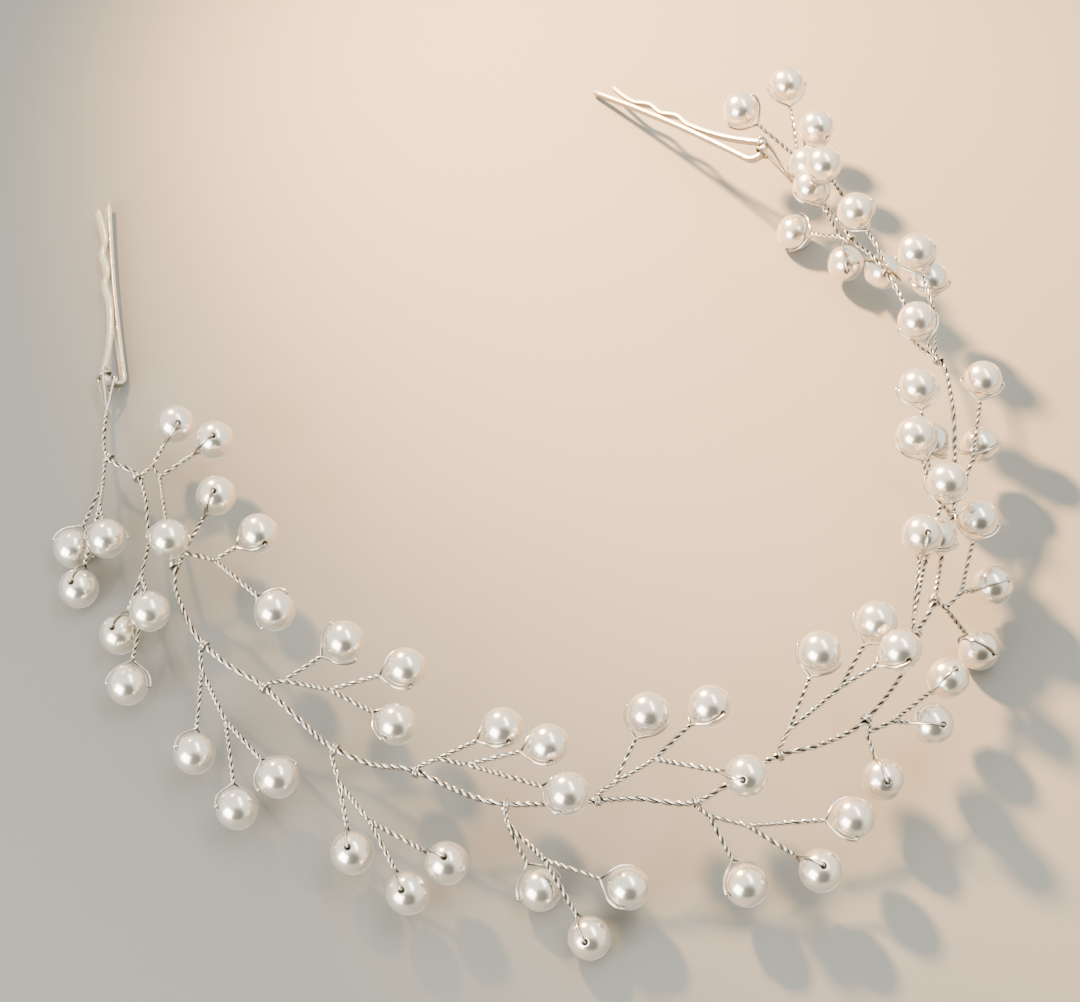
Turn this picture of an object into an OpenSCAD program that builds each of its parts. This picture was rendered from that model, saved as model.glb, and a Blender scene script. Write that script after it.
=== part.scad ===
// Bridal hair vine: a twisted wire stem with sprigs of pearl beads and a bobby pin at each end.
// It lies in a C on a table, origin under the middle of its outline, Z up, millimetres.

/* [Pearls] */
// Diameter of a pearl bead
pearl_d = 8; // [7:0.1:8]
// Diameter of the hole drilled across a bead
hole_d = 1.2; // [1:0.1:1.6]
// Distance from a bead's middle to the neck where its wires part
neck_reach = 6.2; // [5.8:0.1:7]

/* [Wire] */
// Diameter of the single wire that loops through a bead
wire_d = 0.4; // [0.3:0.05:0.5]
// Diameter of a twisted pair, which makes a sprig's branches
branch_d = 0.85; // [0.6:0.05:1]
// Diameter of the twisted stem
stem_d = 1.1; // [0.9:0.05:1.3]
// Length of the collar that a sprig winds round the stem
collar_l = 1.3; // [1:0.1:2]
// Wall of that collar
collar_wall = 0.3; // [0.2:0.05:0.5]
// Air between the collar and the stem, and between a loop and its bead
air = 0.12; // [0.1:0.01:0.2]

/* [Bobby pins] */
// Overall length
pin_l = 54; // [50:0.5:58]
// How much shorter the wavy leg is
pin_short = 4; // [1:0.5:6]
// Height of the flat spring wire
pin_h = 1.8; // [1.4:0.1:2.2]
// Thickness of the flat spring wire
pin_t = 0.9; // [0.6:0.1:1]
// Width of the closed end, between the middles of the legs
pin_eye = 5; // [3.6:0.1:5.6]
// Gap between the legs where they grip the hair
pin_gap = 0.3; // [0.2:0.1:0.6]
// Number of waves in the wavy leg
pin_waves = 2; // [1:1:3]
// Depth of a wave
wave_depth = 0.9; // [0.4:0.1:1.2]
// How far the tip of the wavy leg turns out
pin_flare = 3; // [1:0.1:3.6]
// Bow of the straight leg
pin_bow = 0.7; // [0:0.1:1]

/* [Hidden] */

// Places below are measured from a mark on the table; this takes the middle of the outline to the origin
middle = [-2.6, 7.6, 0];

// The stem's route from the left pin to the right pin, its points chosen by hand
STEM = [
    // x, y, z
    [-92.5, 21.5, 2.5],  // 0, tie of the left pin
    [-90.5, 7.5, 6],     // 1
    [-83.5, 2, 7],       // 2
    [-80.5, -5.5, 8],    // 3
    [-78.5, -15, 9],     // 4
    [-73, -21.5, 10],    // 5
    [-72, -28, 10],      // 6
    [-69.5, -34, 10],    // 7
    [-66, -40, 10],      // 8
    [-60, -45.5, 10],    // 9
    [-53.5, -50, 10.5],  // 10
    [-46, -57.5, 11],    // 11
    [-39.5, -63.5, 11],  // 12
    [-31, -68, 12],      // 13
    [-24, -69, 12],      // 14
    [-15, -73.5, 12],    // 15
    [-7.5, -76, 12],     // 16
    [2, -76.5, 13],      // 17
    [9.5, -76.5, 14],    // 18
    [18, -76, 14],       // 19
    [27.5, -77, 14],     // 20
    [34, -74, 15],       // 21
    [43.5, -68, 15],     // 22
    [52, -65.5, 15],     // 23
    [60, -61.5, 16],     // 24
    [68, -52, 17],       // 25
    [71.5, -43, 16.5],   // 26
    [76, -35.5, 16],     // 27
    [79.5, -22.5, 13],   // 28
    [82.5, -13.5, 13],   // 29
    [83.5, -8, 14],      // 30
    [84.5, 6, 17],       // 31
    [84.5, 14, 18],      // 32
    [83.5, 22, 18.5],    // 33
    [79, 29.5, 16],      // 34
    [78, 40.5, 15],      // 35
    [75, 47.5, 16],      // 36
    [72, 53.5, 16],      // 37
    [68.5, 58.5, 15],    // 38
    [67, 63, 14],        // 39
    [63.5, 72, 12],      // 40
    [61, 76.5, 11],      // 41
    [57.5, 80, 10],      // 42, tie of the right pin
];

// A row per sprig: the stem point that it is wound on, its two forks, and the pearls of each fork.
// A pearl has its middle and the lean of its hole in degrees, 0 for a hole that lies level
FOOT = 0;
FORK_1 = 1;
FORK_2 = 2;
PEARLS_1 = 3;
PEARLS_2 = 4;
SPRIGS = [
    [1, [-90, 0, 7], [-89.5, -7.5, 9],
        [[-95, -14.5, 4, 30]],
        [[-87, -16, 10, 20], [-92.5, -24.5, 4.6, 80]]],
    [2, [-80, 3, 8.5], [-78, -0.5, 9.5],
        [[-75.5, 11, 12, 60]],
        [[-67, 7, 12, 70], [-73.5, -19.5, 15, 20]]],
    [4, [-79.5, -23.5, 8], [-78, -27.5, 8],
        [[-83, -35.5, 5, 80]],
        [[-76, -35, 13, 80], [-80, -47.5, 6, 0]]],
    [5, [-71, -20, 11], [-64.5, -22.5, 12],
        [[-65, -9, 15, 80]],
        [[-56, -17.5, 14, 20], [-51.5, -35.5, 14, -30]]],
    [8, [-65.5, -45.5, 8], [-60, -56.5, 8],
        [[-65.5, -63, 7, 40]],
        [[-56.5, -74.5, 7, 30], [-49, -69.5, 10, 0]]],
    [10, [-49, -50, 12], [-40, -52.5, 13],
        [[-37.5, -43, 15, -20]],
        [[-25.5, -49, 15, 0], [-27, -60.5, 14, 10]]],
    [12, [-37.5, -70.5, 10], [-31.5, -78.5, 10],
        [[-34.5, -84, 8, 80]],
        [[-24, -92, 8, 70], [-17, -87, 10, 80]]],
    [14, [-19, -67.5, 13.5], [-13.5, -69.5, 15],
        [[-7, -62.5, 16, 20]],
        [[1.5, -67, 18, 10], [5, -77.5, 19, 0]]],
    [16, [-6, -79.5, 11], [1, -86.5, 10],
        [[0, -89.5, 4, 0]],
        [[9, -99, 4, 60], [16, -91, 8, 0]]],
    [18, [13.5, -74, 16], [21, -70, 18],
        [[20, -61.5, 20, 10]],
        [[31.5, -60, 20, 30], [37.5, -74.5, 20, 50]]],
    [20, [31, -79, 13], [38, -80.5, 12],
        [[37.5, -90.5, 8, 10]],
        [[57.5, -79, 12, 0], [51, -88.5, 10, 80]]],
    [22, [46, -64, 18], [56, -56.5, 21],
        [[52.5, -49.5, 22, 0]],
        [[63.5, -43.5, 23, 0], [67, -51, 25, 30]]],
    [24, [61, -63, 15], [66, -60.5, 15],
        [[64, -70, 10, 80]],
        [[78, -49.5, 12, 80], [74, -59.5, 12, 60]]],
    [27, [78.5, -36, 15.5], [82, -32, 15],
        [[86.5, -38.5, 4, 70]],
        [[90, -26, 8, 60], [87, -15.5, 16, 0]]],
    [26, [71.5, -40, 18], [74.5, -28.5, 20.5],
        [[73.5, -25.5, 25.5, 80]],
        [[78, -20.5, 17.5, 0], [80, -12, 24, 0]]],
    [29, [78.5, -11, 17.5], [78, -3, 18.5],
        [[75, -0.5, 23.5, 0]],
        [[80, 5, 14, -30], [77, 13, 22, 0]]],
    [30, [88, 0, 14.5], [89.5, 7.5, 15.5],
        [[91, 7, 10, 30]],
        [[92, 19.5, 16, 0]]],
    [33, [82, 21, 20], [83, 36.5, 18.5],
        [[78.5, 30.5, 22, 10]],
        [[80, 49, 22.5, 20], [84, 47.5, 15, 0]]],
    [36, [73, 52.5, 19], [68, 71.5, 14],
        [[68.5, 62, 21, 40], [75.5, 56, 8, 0]],
        [[62, 73, 24, 30]]],
    [38, [66.5, 63, 11.5], [63.5, 67, 14.5],
        [[68, 60.5, 5.5, 60], [57.5, 71, 4, 40]],
        [[60, 73.5, 16, 0]]],
    [41, [61.5, 78.5, 9], [59, 88.5, 9.5],
        [[60, 82.5, 14, 40]],
        [[62.5, 91, 17, 0], [56.5, 103.5, 18, 0], [45.5, 95.5, 18, 40]]],
];

// Each pin lies along +Y from its closed end: where that end is, then its roll, pitch and turn in degrees
PIN_AT = 0;
PIN_ROLL = 1;
PIN_PITCH = 2;
PIN_TURN = 3;
LEFT_PIN = [[-92.2, 31.2, 2.7], 40, 0.8, 10];
RIGHT_PIN = [[48, 84, 16.7], 162, -17, 43];

// Spans in each stretch of the stem
STEM_SPANS = 2;
// Flats round a wire and a collar
WIRE_SIDES = 5;
COLLAR_SIDES = 8;

function unit(v) = v / norm(v);
function heading(path, i) =
    i == 0 ? unit(path[1] - path[0]) :
    i == len(path) - 1 ? unit(path[i] - path[i - 1]) :
    unit(unit(path[i] - path[i - 1]) + unit(path[i + 1] - path[i]));
function ring(at, along, level, d, sides) =
    let (side = unit(cross(level, along)), rise = cross(along, side))
    [for (k = [0:sides - 1]) at + d / 2 * (cos(360 * k / sides) * side + sin(360 * k / sides) * rise)];
function curve(a, b, c, d, t) =
    0.5 * (2 * b + (c - a) * t + (2 * a - 5 * b + 4 * c - d) * t * t + (3 * b - a - 3 * c + d) * t * t * t);

// The stem's route rounded through its points, and a collar's direction and place just past a point
STEM_PATH = [
    for (i = [0:len(STEM) - 2], k = [0:STEM_SPANS - 1])
        curve(STEM[max(i - 1, 0)], STEM[i], STEM[i + 1], STEM[min(i + 2, len(STEM) - 1)], k / STEM_SPANS),
    STEM[len(STEM) - 1],
];
function foot_along(i) = unit(STEM_PATH[i * STEM_SPANS + 1] - STEM[i]);
function foot_at(i) = STEM[i] + (collar_l + stem_d) / 2 * foot_along(i);

// From a pin's own frame to the table's
function rolled(v, a) = [v.x * cos(a) + v.z * sin(a), v.y, v.z * cos(a) - v.x * sin(a)];
function pitched(v, a) = [v.x, v.y * cos(a) - v.z * sin(a), v.y * sin(a) + v.z * cos(a)];
function turned(v, a) = [v.x * cos(a) - v.y * sin(a), v.x * sin(a) + v.y * cos(a), v.z];
function in_pin(pin, v) =
    pin[PIN_AT] + turned(pitched(rolled(v, pin[PIN_ROLL]), pin[PIN_PITCH]), pin[PIN_TURN]);

// A round wire along a path, each span hulled between its two ends, with a point past each end that
// carries the span into its neighbour; level is a direction that the path never follows
function span_end(path, i, level, d, sides) =
    let (along = heading(path, i))
    concat(ring(path[i], along, level, d, sides), [path[i] - d / 3 * along, path[i] + d / 3 * along]);
module wire(path, d, sides, level = [0, 0, 1]) {
    for (i = [0:len(path) - 2]) {
        ends = concat(span_end(path, i, level, d, sides), span_end(path, i + 1, level, d, sides));
        hull() polyhedron(ends, [[for (k = [0:len(ends) - 1]) k]]);
    }
}

// The single wire from the neck round the bead, through its hole and back
function hole_axis(neck, lean) =
    let (flat = unit(cross([0, 0, 1], neck)))
    flat * cos(lean) + cross(neck, flat) * sin(lean);
module bead_loop(at, neck, across) {
    r = (pearl_d + wire_d) / 2 + 1.5 * air;
    turn = (90 - acos(r / neck_reach)) / 2;
    tie = at + neck_reach * neck;
    shoulder = r * (tan(turn) * neck + across);
    far_shoulder = r * (tan(turn) * neck - across);
    route = [tie, at + shoulder, at + r * across, at - r * across, at + far_shoulder, tie];
    wire(route, wire_d, WIRE_SIDES, cross(neck, across));
}

// The twisted branch from a fork to a bead's neck, and the bead's loop
module bead_branch(fork, pearl) {
    at = [pearl.x, pearl.y, pearl.z];
    neck = unit(fork - at);
    across = hole_axis(neck, pearl[3]);
    wire([fork, at + (neck_reach - branch_d / 2) * neck], branch_d, WIRE_SIDES, across);
    bead_loop(at, neck, across);
}

// A square-ended rod along the stem, for the collar that a sprig winds round it and for the collar's bore.
// The bore is turned a little against the collar, so that no corner of one meets an edge of the other
module collar(at, along, level, d, l) {
    ends = [
        for (end = [-l / 2, l / 2])
            each ring(at + end * along, along, level, d / cos(180 / COLLAR_SIDES), COLLAR_SIDES)
    ];
    hull() polyhedron(ends, [[for (k = [0:len(ends) - 1]) k]]);
}

module sprig_wire(n) {
    row = SPRIGS[n];
    foot = foot_at(row[FOOT]);
    along = foot_along(row[FOOT]);
    reach = row[FORK_1] - foot;
    out = unit(reach - (reach * along) * along);
    bore = stem_d + 2 * air;
    root = [foot + out * bore * 0.6, foot + out * (bore + branch_d) * 0.6];
    color("lightsteelblue") translate(-middle) difference() {
        union() {
            collar(foot, along, out, bore + 2 * collar_wall, collar_l);
            wire(concat(root, [row[FORK_1], row[FORK_2]]), branch_d, WIRE_SIDES);
            for (pearl = row[PEARLS_1]) bead_branch(row[FORK_1], pearl);
            for (pearl = row[PEARLS_2]) bead_branch(row[FORK_2], pearl);
        }
        collar(foot, along, out + 0.2 * cross(along, out), bore, 2 * collar_l);
    }
}

module sprig_pearls(n) {
    row = SPRIGS[n];
    color("ivory") translate(-middle) {
        for (pearl = row[PEARLS_1]) bead(row[FORK_1], pearl);
        for (pearl = row[PEARLS_2]) bead(row[FORK_2], pearl);
    }
}
module bead(fork, pearl) {
    at = [pearl.x, pearl.y, pearl.z];
    axis = hole_axis(unit(fork - at), pearl[3]);
    translate(at) rotate([0, acos(axis.z), atan2(axis.y, axis.x)])
        rotate_extrude($fn = 48) intersection() {
            circle(d = pearl_d, $fn = 48);
            translate([hole_d / 2, -pearl_d / 2]) square(pearl_d);
        }
}

// One of the two wires that lead from the stem's end round a pin's closed end, at an angle on its bend
module pin_tie(pin, end, a) {
    bend = pin_eye / 2 * [cos(a), sin(a), 0];
    out = (pin_t / 2 + wire_d / 2 + air) * [cos(a), sin(a), 0];
    up = [0, 0, pin_h / 2 + wire_d / 2 + air];
    around = [for (p = [bend + out + up, bend - out + up, bend - out - up, bend + out - up]) in_pin(pin, p)];
    side = in_pin(pin, [-sin(a), cos(a), 0]) - in_pin(pin, [0, 0, 0]);
    wire(concat([end], around, [end]), wire_d, WIRE_SIDES, side);
}

module stem() {
    color("silver") translate(-middle) {
        wire(STEM_PATH, stem_d, WIRE_SIDES);
        for (a = [200, 260]) {
            pin_tie(LEFT_PIN, STEM[0], a);
            pin_tie(RIGHT_PIN, STEM[len(STEM) - 1], a);
        }
    }
}

// A leg's distance from the pin's middle line, for a height above the closed end
LEG = pin_l - pin_eye / 2 - pin_t / 2;
function straight_leg(y) = pin_eye / 2 - pin_bow * sin(180 * y / LEG);
function spread(y) =
    let (
        shut = pin_t + pin_gap,
        close = LEG * 0.4,
        open = LEG * 0.76,
        wave = (y - close) / (open - close) * 360 * pin_waves
    )
    y < close ? shut + (pin_eye - shut) * pow(1 - y / close, 2) :
    y < open ? shut + wave_depth * (1 - cos(wave)) / 2 :
    shut + pin_flare * pow((y - open) / (LEG - open), 1.5);
module bobby_pin(pin) {
    n = 60;
    wavy = [for (k = [0:n]) let (y = (LEG - pin_short) * (1 - k / n)) [straight_leg(y) - spread(y), y]];
    bend = [for (k = [1:11]) pin_eye / 2 * [cos(180 + 15 * k), sin(180 + 15 * k)]];
    straight = [for (k = [0:12]) let (y = LEG * k / 12) [straight_leg(y), y]];
    line = concat(wavy, bend, straight);
    side = [
        for (i = [0:len(line) - 1])
            let (h = heading(line, i)) pin_t / 2 * [-h.y, h.x]
    ];
    outline = concat(
        [for (i = [0:len(line) - 1]) line[i] + side[i]],
        [for (i = [len(line) - 1:-1:0]) line[i] - side[i]]
    );
    color("gainsboro") translate(pin[PIN_AT] - middle)
        rotate([0, 0, pin[PIN_TURN]]) rotate([pin[PIN_PITCH], 0, 0]) rotate([0, pin[PIN_ROLL], 0])
        linear_extrude(pin_h, center = true) polygon(outline);
}

stem();
bobby_pin(LEFT_PIN);  // left_bobby_pin
bobby_pin(RIGHT_PIN);  // right_bobby_pin
sprig_wire(0);  // sprig_01_wire
sprig_wire(1);  // sprig_02_wire
sprig_wire(2);  // sprig_03_wire
sprig_wire(3);  // sprig_04_wire
sprig_wire(4);  // sprig_05_wire
sprig_wire(5);  // sprig_06_wire
sprig_wire(6);  // sprig_07_wire
sprig_wire(7);  // sprig_08_wire
sprig_wire(8);  // sprig_09_wire
sprig_wire(9);  // sprig_10_wire
sprig_wire(10);  // sprig_11_wire
sprig_wire(11);  // sprig_12_wire
sprig_wire(12);  // sprig_13_wire
sprig_wire(13);  // sprig_14_wire
sprig_wire(14);  // sprig_15_wire
sprig_wire(15);  // sprig_16_wire
sprig_wire(16);  // sprig_17_wire
sprig_wire(17);  // sprig_18_wire
sprig_wire(18);  // sprig_19_wire
sprig_wire(19);  // sprig_20_wire
sprig_wire(20);  // sprig_21_wire
sprig_pearls(0);  // sprig_01_pearls
sprig_pearls(1);  // sprig_02_pearls
sprig_pearls(2);  // sprig_03_pearls
sprig_pearls(3);  // sprig_04_pearls
sprig_pearls(4);  // sprig_05_pearls
sprig_pearls(5);  // sprig_06_pearls
sprig_pearls(6);  // sprig_07_pearls
sprig_pearls(7);  // sprig_08_pearls
sprig_pearls(8);  // sprig_09_pearls
sprig_pearls(9);  // sprig_10_pearls
sprig_pearls(10);  // sprig_11_pearls
sprig_pearls(11);  // sprig_12_pearls
sprig_pearls(12);  // sprig_13_pearls
sprig_pearls(13);  // sprig_14_pearls
sprig_pearls(14);  // sprig_15_pearls
sprig_pearls(15);  // sprig_16_pearls
sprig_pearls(16);  // sprig_17_pearls
sprig_pearls(17);  // sprig_18_pearls
sprig_pearls(18);  // sprig_19_pearls
sprig_pearls(19);  // sprig_20_pearls
sprig_pearls(20);  // sprig_21_pearls
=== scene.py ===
import math

import bmesh
import bpy
from mathutils import Matrix, Vector


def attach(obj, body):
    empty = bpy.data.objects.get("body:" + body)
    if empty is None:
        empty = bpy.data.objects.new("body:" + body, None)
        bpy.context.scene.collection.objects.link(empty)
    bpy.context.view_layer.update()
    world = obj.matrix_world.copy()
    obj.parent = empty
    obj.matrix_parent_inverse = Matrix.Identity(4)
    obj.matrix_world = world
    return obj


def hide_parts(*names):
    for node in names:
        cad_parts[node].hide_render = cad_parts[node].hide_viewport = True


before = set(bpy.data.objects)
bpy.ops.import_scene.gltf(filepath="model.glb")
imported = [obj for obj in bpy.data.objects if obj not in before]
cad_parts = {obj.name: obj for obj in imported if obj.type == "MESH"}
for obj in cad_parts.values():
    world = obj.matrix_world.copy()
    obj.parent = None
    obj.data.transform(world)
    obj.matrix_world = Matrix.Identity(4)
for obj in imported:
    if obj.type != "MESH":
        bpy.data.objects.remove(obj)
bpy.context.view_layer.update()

# The stem is one cord of two silver-plated copper wires, twisted together by hand and bent into the C
# that follows the head. At each end its two wires part and are wound round the closed end of a pin.
# Places are measured from a mark on the table, and middle takes the outline's middle to the origin.
middle = Vector((-0.0026, 0.0076, 0))
stem_points = [
    (-0.0925, 0.0215, 0.0025), (-0.0905, 0.0075, 0.006), (-0.0835, 0.002, 0.007),
    (-0.0805, -0.0055, 0.008), (-0.0785, -0.015, 0.009), (-0.073, -0.0215, 0.01),
    (-0.072, -0.028, 0.01), (-0.0695, -0.034, 0.01), (-0.066, -0.04, 0.01),
    (-0.06, -0.0455, 0.01), (-0.0535, -0.05, 0.0105), (-0.046, -0.0575, 0.011),
    (-0.0395, -0.0635, 0.011), (-0.031, -0.068, 0.012), (-0.024, -0.069, 0.012),
    (-0.015, -0.0735, 0.012), (-0.0075, -0.076, 0.012), (0.002, -0.0765, 0.013),
    (0.0095, -0.0765, 0.014), (0.018, -0.076, 0.014), (0.0275, -0.077, 0.014),
    (0.034, -0.074, 0.015), (0.0435, -0.068, 0.015), (0.052, -0.0655, 0.015),
    (0.06, -0.0615, 0.016), (0.068, -0.052, 0.017), (0.0715, -0.043, 0.0165),
    (0.076, -0.0355, 0.016), (0.0795, -0.0225, 0.013), (0.0825, -0.0135, 0.013),
    (0.0835, -0.008, 0.014), (0.0845, 0.006, 0.017), (0.0845, 0.014, 0.018),
    (0.0835, 0.022, 0.0185), (0.079, 0.0295, 0.016), (0.078, 0.0405, 0.015),
    (0.075, 0.0475, 0.016), (0.072, 0.0535, 0.016), (0.0685, 0.0585, 0.015),
    (0.067, 0.063, 0.014), (0.0635, 0.072, 0.012), (0.061, 0.0765, 0.011),
    (0.0575, 0.08, 0.01),
]
stem_spans = 6
stem_strand = 0.0006
stem_pitch = 0.004
stem_unevenness = 1.0
points_a_turn = 11
unevenness_rate = 1.7


def rounded(points, spans):
    """A route through the points, each stretch of it cut into that many spans."""
    route = []
    for i in range(len(points) - 1):
        a, b = points[max(i - 1, 0)], points[i]
        c, d = points[i + 1], points[min(i + 2, len(points) - 1)]
        for k in range(spans):
            t = k / spans
            bend = 2 * b + (c - a) * t + (2 * a - 5 * b + 4 * c - d) * t * t
            route.append(0.5 * (bend + (3 * b - a - 3 * c + d) * t * t * t))
    return route + [points[-1]]


def twisted_pair(route, strand, pitch, across, unevenness):
    """The middle lines of two wires twisted along a route, which start side by side along across.

    A hand never twists at one rate, so the turn runs ahead and falls back by the unevenness, in radians.
    """
    step = pitch / points_a_turn
    one, other = [], []
    done, left = 0.0, 0.0
    heading = (route[1] - route[0]).normalized()
    across = (across - across.dot(heading) * heading).normalized()
    for a, b in zip(route, route[1:]):
        span = (b - a).length
        new_heading = (b - a).normalized()
        across = heading.rotation_difference(new_heading) @ across
        heading = new_heading
        while left <= span:
            turn = 2 * math.pi * done / pitch
            done += step
            turn += unevenness * math.sin(unevenness_rate * done / pitch)
            offset = Matrix.Rotation(turn, 3, heading) @ across * strand / 2
            place = a + heading * left
            one.append(place + offset)
            other.append(place - offset)
            left += step
        left -= span
    return one, other


def placed(name, data):
    """An object of that name in the scene."""
    thing = bpy.data.objects.new(name, data)
    bpy.context.scene.collection.objects.link(thing)
    return thing


def drawn(line):
    """The mesh that a curve object gives, in place of the object."""
    bpy.context.view_layer.update()
    mesh = bpy.data.meshes.new_from_object(line.evaluated_get(bpy.context.evaluated_depsgraph_get()))
    bpy.data.objects.remove(line)
    return mesh


def close_ends(mesh):
    """Caps on the open ends of a bmesh."""
    bmesh.ops.holes_fill(mesh, edges=[edge for edge in mesh.edges if edge.is_boundary], sides=0)
    bmesh.ops.recalc_face_normals(mesh, faces=mesh.faces[:])


def wire_piece(name, runs):
    """One piece of round wires, each run its points, its diameter and, if twisted, its partner's points.

    The groove value of a vertex says how far it faces the partner: 0 away from it, 1 where they touch.
    """
    curve = bpy.data.curves.new(name, "CURVE")
    curve.dimensions = "3D"
    curve.bevel_depth = 1.0
    curve.bevel_resolution = 2
    for points, diameter, partners in runs:
        spline = curve.splines.new("POLY")
        spline.points.add(len(points) - 1)
        for slot, place in zip(spline.points, points):
            slot.co = (*(place - middle), 1)
            slot.radius = diameter / 2
    mesh = drawn(placed(name, curve))
    places = [point for points, diameter, partners in runs for point in points]
    nearest = [point for points, diameter, partners in runs for point in partners or points]
    sides = len(mesh.vertices) // len(places)
    groove = mesh.attributes.new("groove", "FLOAT", "POINT")
    for vertex in mesh.vertices:
        place = places[vertex.index // sides]
        across = (nearest[vertex.index // sides] - place).normalized()
        groove.data[vertex.index].value = max((vertex.co + middle - place).normalized().dot(across), 0)
    closed = bmesh.new()
    closed.from_mesh(mesh)
    close_ends(closed)
    for face in closed.faces:
        face.smooth = len(face.verts) == 4
    closed.to_mesh(mesh)
    closed.free()
    return placed(name, mesh)


# Silver-plated copper craft wire, drawn through dies and twisted: bright where it is clean, with a warm
# tarnish in patches some 2 mm long, painted shade where the strands touch and on the sides and
# undersides, and fine drawing marks that spread its highlights.


def linear(hex_colour):
    """The linear colour of an sRGB hex value."""
    parts = [int(hex_colour[i : i + 2], 16) / 255 for i in (1, 3, 5)]
    return [c / 12.92 if c <= 0.04045 else ((c + 0.055) / 1.055) ** 2.4 for c in parts] + [1]


def add(tree, kind, values, links, **settings):
    """A node with its settings, the values of its sockets and what feeds them."""
    node = tree.nodes.new(kind)
    for name, value in settings.items():
        setattr(node, name, value)
    for socket, value in values.items():
        node.inputs[socket].default_value = value
    for socket, source in links.items():
        tree.links.new(source, node.inputs[socket])
    return node


def noise(tree, values):
    """The strength of a noise that is fixed to the object."""
    place = add(tree, "ShaderNodeTexCoord", {}, {}).outputs["Object"]
    return add(tree, "ShaderNodeTexNoise", values, {"Vector": place}).outputs["Fac"]


def ranged(tree, source, values, **settings):
    """A value carried from one range to another, each of them 0 to 1 where values don't say."""
    return add(tree, "ShaderNodeMapRange", values, {"Value": source}, **settings).outputs["Result"]


def blend(tree, first, second, share):
    """The first colour with this share of the second in it. The first may be another blend."""
    socket_a, socket_b, mixed = 6, 7, 2
    values, links = {socket_b: linear(second)}, {0: share}
    if isinstance(first, str):
        values[socket_a] = linear(first)
    else:
        links[socket_a] = first
    return add(tree, "ShaderNodeMix", values, links, data_type="RGBA").outputs[mixed]


def upward(tree):
    """How far the surface faces up: 1 on top, 0 on an upright side, -1 underneath."""
    normal = add(tree, "ShaderNodeNewGeometry", {}, {}).outputs["Normal"]
    return add(tree, "ShaderNodeSeparateXYZ", {}, {"Vector": normal}).outputs["Z"]


def relief(tree, height, values):
    """The normals of a fine relief."""
    return add(tree, "ShaderNodeBump", values, {"Height": height}).outputs["Normal"]


def finish_named(name):
    """An empty node material of that name, and its nodes."""
    material = bpy.data.materials.new(name)
    material.use_nodes = True
    material.node_tree.nodes.clear()
    return material, material.node_tree


def shade(tree, values, links):
    """The shader of a material, joined to its output."""
    shader = add(tree, "ShaderNodeBsdfPrincipled", values, links)
    add(tree, "ShaderNodeOutputMaterial", {}, {"Surface": shader.outputs["BSDF"]})


silver_wire, tree = finish_named("silver_plated_craft_wire")
patches = noise(tree, {"Scale": 500, "Detail": 3, "Roughness": 0.6})
clean = blend(tree, "#F6F0E4", "#AA9E8C", patches)
between = add(tree, "ShaderNodeAttribute", {}, {}, attribute_name="groove").outputs["Fac"]
# Painted shade: the colour darkens to near black where a strand faces its partner and where the surface
# faces down.
depth = ranged(tree, between, {"From Min": 0.05, "From Max": 0.6})
under = ranged(tree, upward(tree), {"From Min": 0.4, "From Max": -0.25, "To Max": 0.95})
painted_shade = add(tree, "ShaderNodeMath", {}, {0: depth, 1: under}, operation="MAXIMUM").outputs["Value"]
tarnish_and_shade = blend(tree, clean, "#241D15", painted_shade)
polish = ranged(tree, patches, {"To Min": 0.1, "To Max": 0.24})
marks = noise(tree, {"Scale": 5000, "Detail": 2})
drawing = relief(tree, marks, {"Strength": 0.25, "Distance": 0.00003})
shade(tree, {"Metallic": 1.0}, {"Base Color": tarnish_and_shade, "Roughness": polish, "Normal": drawing})

# Each end of the stem is tied round the closed end of a pin, so the pins' places come first: the middle
# of the closed end, then roll, pitch and turn in degrees. Each tie is two turns of the stem's own wire,
# drawn tight over the corners of the strip.
pin_height = 0.0018
pin_thickness = 0.0009
pin_eye = 0.005
tie_wire = 0.0006
tie_angles = (200, 260)
tie_turns = 2
tie_spread = 1.4 * tie_wire
tie_spans = 5
tie_side_gap = 0.00012
tie_top_gap = 0.0001
left_pin = (Vector((-0.0922, 0.0312, 0.0027)), 40, 0.8, 10)
right_pin = (Vector((0.048, 0.084, 0.0167)), 162, -17, 43)


def pin_matrix(pin):
    """From a pin's own frame, along +Y from its closed end, to the table mark's frame."""
    at, roll, pitch, turn = pin
    turned = Matrix.Rotation(math.radians(turn), 4, "Z")
    pitched = Matrix.Rotation(math.radians(pitch), 4, "X")
    rolled = Matrix.Rotation(math.radians(roll), 4, "Y")
    return Matrix.Translation(at) @ turned @ pitched @ rolled


stem_route = rounded([Vector(p) for p in stem_points], stem_spans)
one, other = twisted_pair(stem_route, stem_strand, stem_pitch, Vector((0, 0, 1)), stem_unevenness)
stem_runs = [(one, stem_strand, other), (other, stem_strand, one)]
reach = pin_thickness / 2 + tie_wire / 2 + tie_side_gap
rise = pin_height / 2 + tie_wire / 2 + tie_top_gap
strip_corners = ((reach, rise), (-reach, rise), (-reach, -rise), (reach, -rise))
for pin, end, out in (
    (left_pin, stem_route[0], stem_route[1]),
    (right_pin, stem_route[-1], stem_route[-2]),
):
    for angle in tie_angles:
        a = math.radians(angle)
        radial = Vector((math.cos(a), math.sin(a), 0))
        beside = Vector((-math.sin(a), math.cos(a), 0))
        corners = []
        for k, (off, up) in enumerate(strip_corners * tie_turns):
            shift = (k / (4 * tie_turns - 1) - 0.5) * tie_spread
            corner = (pin_eye / 2 + off) * radial + shift * beside + Vector((0, 0, up))
            corners.append(pin_matrix(pin) @ corner)
        stem_runs.append((rounded([out, end, *corners, end, out], tie_spans), tie_wire, None))
stem = wire_piece("stem_twisted_cord", stem_runs)
stem.data.materials.append(silver_wire)
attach(stem, "root")
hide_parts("stem")

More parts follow.
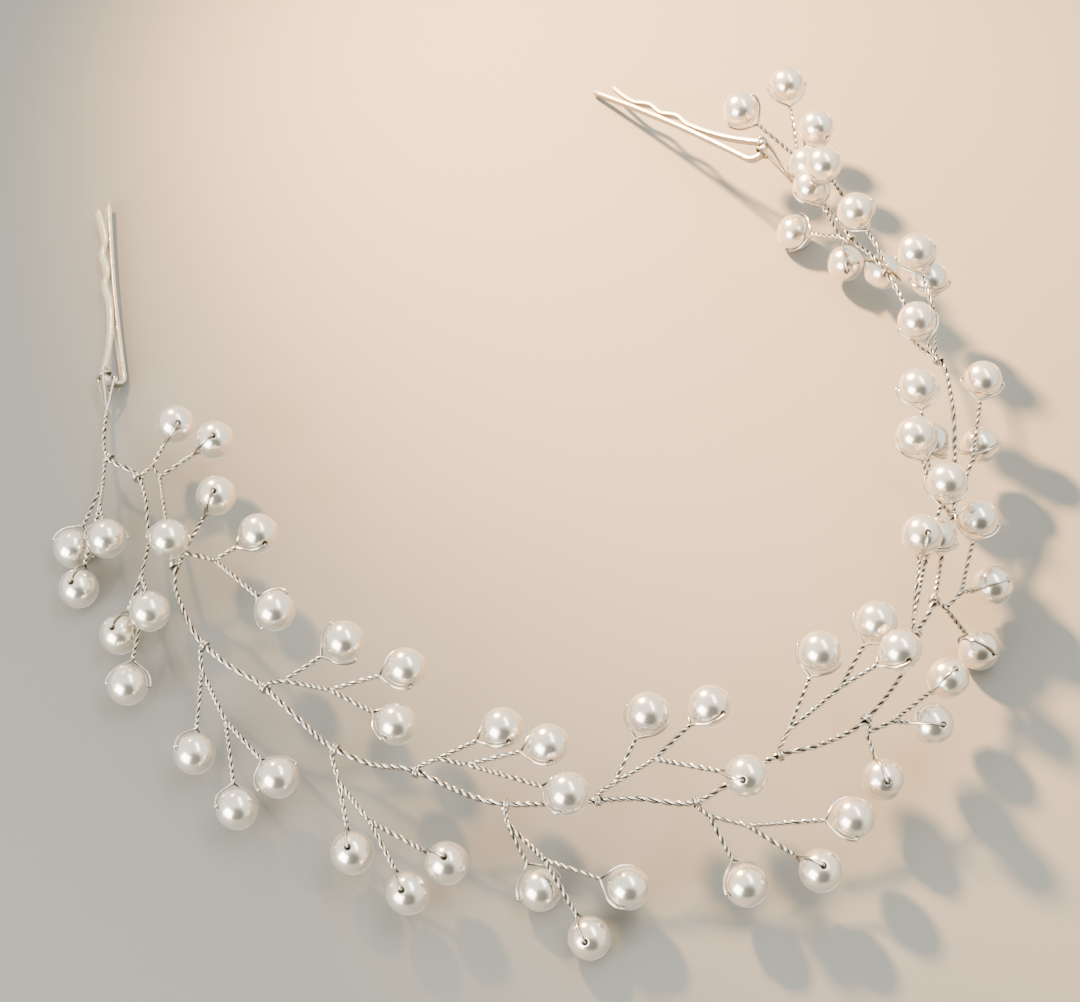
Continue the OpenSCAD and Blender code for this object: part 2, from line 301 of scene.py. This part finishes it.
# Each sprig is one length of thinner plated wire, wound twice round the stem, twisted into a branch that
# forks twice, and looped through the hole of every pearl, so that a pearl hangs on its own loop. A row is
# its stem point, its two forks and each fork's pearls, whose last number is the hole's lean in degrees.
sprigs = [
    (1, (-0.09, 0, 0.007), (-0.0895, -0.0075, 0.009),
     [(-0.095, -0.0145, 0.004, 30)],
     [(-0.087, -0.016, 0.01, 20), (-0.0925, -0.0245, 0.0046, 80)]),
    (2, (-0.08, 0.003, 0.0085), (-0.078, -0.0005, 0.0095),
     [(-0.0755, 0.011, 0.012, 60)],
     [(-0.067, 0.007, 0.012, 70), (-0.0735, -0.0195, 0.015, 20)]),
    (4, (-0.0795, -0.0235, 0.008), (-0.078, -0.0275, 0.008),
     [(-0.083, -0.0355, 0.005, 80)],
     [(-0.076, -0.035, 0.013, 80), (-0.08, -0.0475, 0.006, 0)]),
    (5, (-0.071, -0.02, 0.011), (-0.0645, -0.0225, 0.012),
     [(-0.065, -0.009, 0.015, 80)],
     [(-0.056, -0.0175, 0.014, 20), (-0.0515, -0.0355, 0.014, -30)]),
    (8, (-0.0655, -0.0455, 0.008), (-0.06, -0.0565, 0.008),
     [(-0.0655, -0.063, 0.007, 40)],
     [(-0.0565, -0.0745, 0.007, 30), (-0.049, -0.0695, 0.01, 0)]),
    (10, (-0.049, -0.05, 0.012), (-0.04, -0.0525, 0.013),
     [(-0.0375, -0.043, 0.015, -20)],
     [(-0.0255, -0.049, 0.015, 0), (-0.027, -0.0605, 0.014, 10)]),
    (12, (-0.0375, -0.0705, 0.01), (-0.0315, -0.0785, 0.01),
     [(-0.0345, -0.084, 0.008, 80)],
     [(-0.024, -0.092, 0.008, 70), (-0.017, -0.087, 0.01, 80)]),
    (14, (-0.019, -0.0675, 0.0135), (-0.0135, -0.0695, 0.015),
     [(-0.007, -0.0625, 0.016, 20)],
     [(0.0015, -0.067, 0.018, 10), (0.005, -0.0775, 0.019, 0)]),
    (16, (-0.006, -0.0795, 0.011), (0.001, -0.0865, 0.01),
     [(0, -0.0895, 0.004, 0)],
     [(0.009, -0.099, 0.004, 60), (0.016, -0.091, 0.008, 0)]),
    (18, (0.0135, -0.074, 0.016), (0.021, -0.07, 0.018),
     [(0.02, -0.0615, 0.02, 10)],
     [(0.0315, -0.06, 0.02, 30), (0.0375, -0.0745, 0.02, 50)]),
    (20, (0.031, -0.079, 0.013), (0.038, -0.0805, 0.012),
     [(0.0375, -0.0905, 0.008, 10)],
     [(0.0575, -0.079, 0.012, 0), (0.051, -0.0885, 0.01, 80)]),
    (22, (0.046, -0.064, 0.018), (0.056, -0.0565, 0.021),
     [(0.0525, -0.0495, 0.022, 0)],
     [(0.0635, -0.0435, 0.023, 0), (0.067, -0.051, 0.025, 30)]),
    (24, (0.061, -0.063, 0.015), (0.066, -0.0605, 0.015),
     [(0.064, -0.07, 0.01, 80)],
     [(0.078, -0.0495, 0.012, 80), (0.074, -0.0595, 0.012, 60)]),
    (27, (0.0785, -0.036, 0.0155), (0.082, -0.032, 0.015),
     [(0.0865, -0.0385, 0.004, 70)],
     [(0.09, -0.026, 0.008, 60), (0.087, -0.0155, 0.016, 0)]),
    (26, (0.0715, -0.04, 0.018), (0.0745, -0.0285, 0.0205),
     [(0.0735, -0.0255, 0.0255, 80)],
     [(0.078, -0.0205, 0.0175, 0), (0.08, -0.012, 0.024, 0)]),
    (29, (0.0785, -0.011, 0.0175), (0.078, -0.003, 0.0185),
     [(0.075, -0.0005, 0.0235, 0)],
     [(0.08, 0.005, 0.014, -30), (0.077, 0.013, 0.022, 0)]),
    (30, (0.088, 0, 0.0145), (0.0895, 0.0075, 0.0155),
     [(0.091, 0.007, 0.01, 30)],
     [(0.092, 0.0195, 0.016, 0)]),
    (33, (0.082, 0.021, 0.02), (0.083, 0.0365, 0.0185),
     [(0.0785, 0.0305, 0.022, 10)],
     [(0.08, 0.049, 0.0225, 20), (0.084, 0.0475, 0.015, 0)]),
    (36, (0.073, 0.0525, 0.019), (0.068, 0.0715, 0.014),
     [(0.0685, 0.062, 0.021, 40), (0.0755, 0.056, 0.008, 0)],
     [(0.062, 0.073, 0.024, 30)]),
    (38, (0.0665, 0.063, 0.0115), (0.0635, 0.067, 0.0145),
     [(0.068, 0.0605, 0.0055, 60), (0.0575, 0.071, 0.004, 40)],
     [(0.06, 0.0735, 0.016, 0)]),
    (41, (0.0615, 0.0785, 0.009), (0.059, 0.0885, 0.0095),
     [(0.06, 0.0825, 0.014, 40)],
     [(0.0625, 0.091, 0.017, 0), (0.0565, 0.1035, 0.018, 0), (0.0455, 0.0955, 0.018, 40)]),
]
strand = 0.00052
branch_pitch = 0.0029
branch_unevenness = 1.1
stalk_unevenness = (0.7, 0.85, 1.0, 1.15)
foot_shift = 0.0012
root_depth = 0.0008
root_rise = 0.0013
coil_turns = 2
coil_corners = 12
coil_pitch = 1.05 * strand
coil_gap = 0.00003
pearl_diameter = 0.008
neck_reach = 0.0051
loop_gap = 0.00018
loop_radius = pearl_diameter / 2 + strand / 2 + loop_gap
loop_spans = 6
rim_turn = 85
hole_entry = ((0.0000222, 0.00012), (0.0002, 0.00003), (0.0005, 0))


def hole_axis(neck, lean):
    """The way that a pearl's hole runs: level across the neck, turned about the neck by its lean."""
    flat = Vector((0, 0, 1)).cross(neck).normalized()
    return flat * math.cos(math.radians(lean)) + neck.cross(flat) * math.sin(math.radians(lean))


def half_loop(at, neck, across):
    """From the neck round the pearl's side, over the hole's rim and into the middle of the hole."""
    start = math.acos(loop_radius / neck_reach)
    points = []
    for k in range(loop_spans + 1):
        a = start + (math.radians(rim_turn) - start) * k / loop_spans
        points.append(at + loop_radius * (math.cos(a) * neck + math.sin(a) * across))
    for inward, towards_neck in hole_entry:
        points.append(at + (loop_radius - inward) * across + towards_neck * neck)
    return points


def pearl_run(fork, at, lean, unevenness):
    """One wire: twisted with itself from the fork to the neck, and looped through the pearl between."""
    neck = (fork - at).normalized()
    across = hole_axis(neck, lean)
    there, back = twisted_pair([at + neck_reach * neck, fork], strand, branch_pitch, across, unevenness)
    loop = half_loop(at, neck, across) + half_loop(at, neck, -across)[::-1]
    return there[::-1] + loop + back, strand, back[::-1] + loop + there


def wound(at, along, out):
    """The wraps round the stem: a close coil that starts on the branch's side."""
    radius = stem_strand + strand / 2 + coil_gap
    points = []
    for k in range(coil_turns * coil_corners + 1):
        turns = k / coil_corners
        spoke = Matrix.Rotation(2 * math.pi * turns, 3, along) @ out * radius
        points.append(at + along * (turns - coil_turns / 2) * coil_pitch + spoke)
    return points


for number, (point, fork_1, fork_2, pearls_1, pearls_2) in enumerate(sprigs, 1):
    start = Vector(stem_points[point])
    fork_1, fork_2 = Vector(fork_1), Vector(fork_2)
    along = (stem_route[point * stem_spans + stem_spans // 2] - start).normalized()
    foot = start + foot_shift * along
    reach = fork_1 - foot
    out = (reach - reach.dot(along) * along).normalized()
    runs = [(wound(foot, along, out), strand, None)]
    route = [foot + root_depth * out, foot + root_rise * out, fork_1, fork_2]
    one, other = twisted_pair(route, strand, branch_pitch, along, branch_unevenness)
    runs += [(one, strand, other), (other, strand, one)]
    for fork, pearls in ((fork_1, pearls_1), (fork_2, pearls_2)):
        for x, y, z, lean in pearls:
            runs.append(pearl_run(fork, Vector((x, y, z)), lean, stalk_unevenness[number % 4]))
    sprig = wire_piece("sprig_%02d_twisted_wire" % number, runs)
    sprig.data.materials.append(silver_wire)
    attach(sprig, "root")
    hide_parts("sprig_%02d_wire" % number)

# The pearls are imitation: drilled plastic beads, dipped again and again in a nacre lacquer. The dips
# leave a soft gloss over a milky, faintly cloudy ivory, and a rounded rim at each end of the hole.
hole_diameter = 0.0012
rim_rounding = 0.00015

pearl_coat, tree = finish_named("ivory_nacre_lacquer_on_plastic")
clouds = noise(tree, {"Scale": 260, "Detail": 3, "Distortion": 0.6})
ivory = blend(tree, "#FBF3DE", "#F3E6CD", clouds)
blush = blend(tree, ivory, "#F5E9DE", noise(tree, {"Scale": 40, "Detail": 1}))
gloss = ranged(tree, clouds, {"To Min": 0.18, "To Max": 0.28})
skin = noise(tree, {"Scale": 2600, "Detail": 2})
orange_peel = relief(tree, skin, {"Strength": 0.08, "Distance": 0.00002})
shade(
    tree,
    {
        "IOR": 1.55,
        "Metallic": 0.88,
        "Subsurface Weight": 0.2,
        "Subsurface Radius": (1.0, 0.85, 0.7),
        "Subsurface Scale": 0.0008,
        "Coat Weight": 1.0,
        "Coat Roughness": 0.07,
        "Coat IOR": 1.6,
        "Sheen Weight": 0.6,
        "Sheen Roughness": 0.35,
        "Thin Film Thickness": 200.0,
        "Thin Film IOR": 1.45,
    },
    {"Base Color": blush, "Roughness": gloss, "Normal": orange_peel},
)


def drilled_bead(mesh, at, axis):
    """A round bead cut open at both ends of its hole, its bore bridged and its rims rounded."""
    bead = bmesh.new()
    bmesh.ops.create_uvsphere(bead, u_segments=32, v_segments=24, radius=pearl_diameter / 2)
    height = math.sqrt((pearl_diameter / 2) ** 2 - (hole_diameter / 2) ** 2)
    for end in (1, -1):
        everything = bead.verts[:] + bead.edges[:] + bead.faces[:]
        bmesh.ops.bisect_plane(
            bead, geom=everything, plane_co=(0, 0, end * height), plane_no=(0, 0, end), clear_outer=True
        )
    rims = [edge for edge in bead.edges if edge.is_boundary]
    bmesh.ops.bridge_loops(bead, edges=rims)
    bmesh.ops.bevel(
        bead, geom=rims, offset=rim_rounding, segments=2, profile=0.5, affect="EDGES", material=-1
    )
    bmesh.ops.recalc_face_normals(bead, faces=bead.faces[:])
    # Blender lists a sphere's faces in another order each run, so they are sorted by their corners.
    bead.verts.index_update()
    in_order = sorted(bead.faces, key=lambda face: [corner.index for corner in face.verts])
    for k, face in enumerate(in_order):
        face.index = k
    bead.faces.sort()
    turned = Vector((0, 0, 1)).rotation_difference(axis).to_matrix().to_4x4()
    bmesh.ops.transform(bead, matrix=Matrix.Translation(at - middle) @ turned, verts=bead.verts[:])
    part = bpy.data.meshes.new("bead")
    bead.to_mesh(part)
    bead.free()
    mesh.from_mesh(part)
    bpy.data.meshes.remove(part)


for number, (point, fork_1, fork_2, pearls_1, pearls_2) in enumerate(sprigs, 1):
    mesh = bmesh.new()
    for fork, pearls in ((Vector(fork_1), pearls_1), (Vector(fork_2), pearls_2)):
        for x, y, z, lean in pearls:
            at = Vector((x, y, z))
            drilled_bead(mesh, at, hole_axis((fork - at).normalized(), lean))
    for face in mesh.faces:
        face.smooth = True
    name = "sprig_%02d_drilled_pearls" % number
    data = bpy.data.meshes.new(name)
    mesh.to_mesh(data)
    mesh.free()
    pearls = placed(name, data)
    data.materials.append(pearl_coat)
    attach(pearls, "root")
    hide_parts("sprig_%02d_pearls" % number)

# A bobby pin is one strip of flat spring steel with rounded edges, folded on itself and lacquered a pale
# silver, with painted shade darkening its sides and underside. Its straight leg is bowed a little and its
# other leg has two waves and a turned-out tip.
pin_length = 0.054
leg = pin_length - pin_eye / 2 - pin_thickness / 2
leg_bow = 0.0007
grip_gap = 0.0003
shut = pin_thickness + grip_gap
closing_end = 0.4 * leg
waves_end = 0.76 * leg
waves = 2
wave_depth = 0.0009
flare = 0.003
flare_power = 1.5
shorter = 0.004
wavy_spans = 72
bend_spans = 16
straight_spans = 24
edge_radius = 0.0002
edge_points = 5

pin_lacquer, tree = finish_named("pale_silver_lacquered_spring_steel")
wear = noise(tree, {"Scale": 350, "Detail": 4})
rubbed = blend(tree, "#EDE4D0", "#D5CAB5", wear)
# Painted shade: the lacquer darkens as the surface turns from facing up to its sides and underneath.
side_shade = ranged(tree, upward(tree), {"From Min": 0.6, "From Max": 0.0, "To Max": 0.75})
lacquer = blend(tree, rubbed, "#6E6151", side_shade)
polish = ranged(tree, wear, {"To Min": 0.2, "To Max": 0.34})
grain = noise(tree, {"Scale": 4000, "Detail": 2})
brushing = relief(tree, grain, {"Strength": 0.2, "Distance": 0.00003})
shade(
    tree,
    {"Metallic": 0.6, "Coat Weight": 0.4, "Coat Roughness": 0.2},
    {"Base Color": lacquer, "Roughness": polish, "Normal": brushing},
)


def straight_side(y):
    """How far the straight leg stands from the pin's middle line."""
    return pin_eye / 2 - leg_bow * math.sin(math.pi * y / leg)


def spread(y):
    """How far the wavy leg stands from the straight one: closing, two waves, then the turned-out tip."""
    if y < closing_end:
        return shut + (pin_eye - shut) * (1 - y / closing_end) ** 2
    if y < waves_end:
        phase = 2 * math.pi * waves * (y - closing_end) / (waves_end - closing_end)
        return shut + wave_depth * (1 - math.cos(phase)) / 2
    return shut + flare * ((y - waves_end) / (leg - waves_end)) ** flare_power


section = bpy.data.curves.new("strip_section", "CURVE")
section.dimensions = "2D"
outline = section.splines.new("POLY")
outline.points.add(4 * edge_points - 1)
outline.use_cyclic_u = True
for k, slot in enumerate(outline.points):
    edge, point = divmod(k, edge_points)
    side_x, side_y = ((1, 1), (-1, 1), (-1, -1), (1, -1))[edge]
    a = math.radians(90 * (edge + point / (edge_points - 1)))
    x = side_x * (pin_thickness / 2 - edge_radius) + edge_radius * math.cos(a)
    y = side_y * (pin_height / 2 - edge_radius) + edge_radius * math.sin(a)
    slot.co = (x, y, 0, 1)
section_line = placed("strip_section", section)

for name, pin, node in (
    ("left_pin_spring_steel", left_pin, "left_bobby_pin"),
    ("right_pin_spring_steel", right_pin, "right_bobby_pin"),
):
    line = []
    for k in range(wavy_spans + 1):
        y = (leg - shorter) * (1 - k / wavy_spans)
        line.append((straight_side(y) - spread(y), y))
    for k in range(1, bend_spans):
        a = math.pi * (1 + k / bend_spans)
        line.append((pin_eye / 2 * math.cos(a), pin_eye / 2 * math.sin(a)))
    for k in range(straight_spans + 1):
        y = leg * k / straight_spans
        line.append((straight_side(y), y))
    strip = bpy.data.curves.new(name, "CURVE")
    strip.dimensions = "2D"
    strip.fill_mode = "NONE"
    strip.bevel_mode = "OBJECT"
    strip.bevel_object = section_line
    spline = strip.splines.new("POLY")
    spline.points.add(len(line) - 1)
    for slot, (x, y) in zip(spline.points, line):
        slot.co = (x, y, 0, 1)
    data = drawn(placed(name, strip))
    mesh = bmesh.new()
    mesh.from_mesh(data)
    bmesh.ops.remove_doubles(mesh, verts=mesh.verts[:], dist=0.000001)
    close_ends(mesh)
    bmesh.ops.transform(mesh, matrix=Matrix.Translation(-middle) @ pin_matrix(pin), verts=mesh.verts[:])
    for face in mesh.faces:
        face.smooth = len(face.verts) == 4
    mesh.to_mesh(data)
    mesh.free()
    bobby_pin = placed(name, data)
    data.materials.clear()
    data.materials.append(pin_lacquer)
    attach(bobby_pin, "root")
    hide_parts(node)
bpy.data.objects.remove(section_line)

# The table is a plain pale board with a matt paint, which isn't part of the object. It is wide enough to
# reach past the edges of every view.
board = bpy.data.meshes.new("table")
mesh = bmesh.new()
bmesh.ops.create_grid(mesh, x_segments=1, y_segments=1, size=10.0)
mesh.to_mesh(board)
mesh.free()
table = placed("table", board)
table_paint, tree = finish_named("matt_painted_board")
paint = blend(tree, "#87837B", "#82827D", noise(tree, {"Scale": 12, "Detail": 2}))
shade(tree, {"Roughness": 0.75}, {"Base Color": paint})
board.materials.append(table_paint)

# Soft daylight in a pale room: low sun from a window behind to the left leaves a warm pool on the table
# and throws the shadows. The pearls mirror two panels, one low in front to the left and a long one
# above, and a dark patch low in front, which is the photographer's side of the room.
dark_side = (0.13, -0.88, 0.46)
pool = Vector((0.08, 0.07, 0))
world = bpy.data.worlds.new("pale_room")
bpy.context.scene.world = world
world.use_nodes = True
tree = world.node_tree
tree.nodes.clear()
around = add(tree, "ShaderNodeTexCoord", {}, {}).outputs["Generated"]
facing = add(tree, "ShaderNodeVectorMath", {1: dark_side}, {0: around}, operation="DOT_PRODUCT")
drape = ranged(
    tree,
    facing.outputs["Value"],
    {"From Min": 0.66, "From Max": 0.92, "To Min": 2.0, "To Max": 0.05},
    interpolation_type="SMOOTHSTEP",
)
room = add(tree, "ShaderNodeBackground", {"Color": linear("#E6EADF")}, {"Strength": drape})
add(tree, "ShaderNodeOutputWorld", {}, {"Surface": room.outputs["Background"]})

for name, place, size, power, colour in (
    ("panel_left", Vector((-0.42, -0.44, 0.24)), (0.44, 0.42), 9.0, "#FFFDF8"),
    ("panel_above", Vector((0.26, 0.11, 0.75)), (0.70, 0.16), 3.3, "#FFFFFF"),
):
    lamp = bpy.data.lights.new(name, "AREA")
    lamp.shape = "RECTANGLE"
    lamp.size, lamp.size_y = size
    lamp.energy = power
    lamp.color = linear(colour)[:3]
    light = placed(name, lamp)
    light.location = place
    light.rotation_euler = (-place).to_track_quat("-Z", "Y").to_euler()

sun = bpy.data.lights.new("window_behind", "SPOT")
sun.shadow_soft_size = 0.026
sun.spot_size = math.radians(48)
sun.spot_blend = 1.0
sun.energy = 126
sun.color = linear("#FFC686")[:3]
light = placed("window_behind", sun)
light.location = (-0.20, 0.30, 0.30)
light.rotation_euler = (pool - light.location).to_track_quat("-Z", "Y").to_euler()

# The camera looks down 55 degrees from 45 cm away, at the mark on the table that the places start from,
# 8 mm nearer than the outline's middle.
looks_down = 55.4
lens = bpy.data.cameras.new("camera")
lens.sensor_fit = "HORIZONTAL"
lens.sensor_width = 36
lens.lens = 72
lens.clip_start = 0.01
camera = placed("camera", lens)
camera.location = (0.0026, -0.2637, 0.3712)
camera.rotation_euler = (math.radians(90 - looks_down), 0, 0)
bpy.context.scene.camera = camera
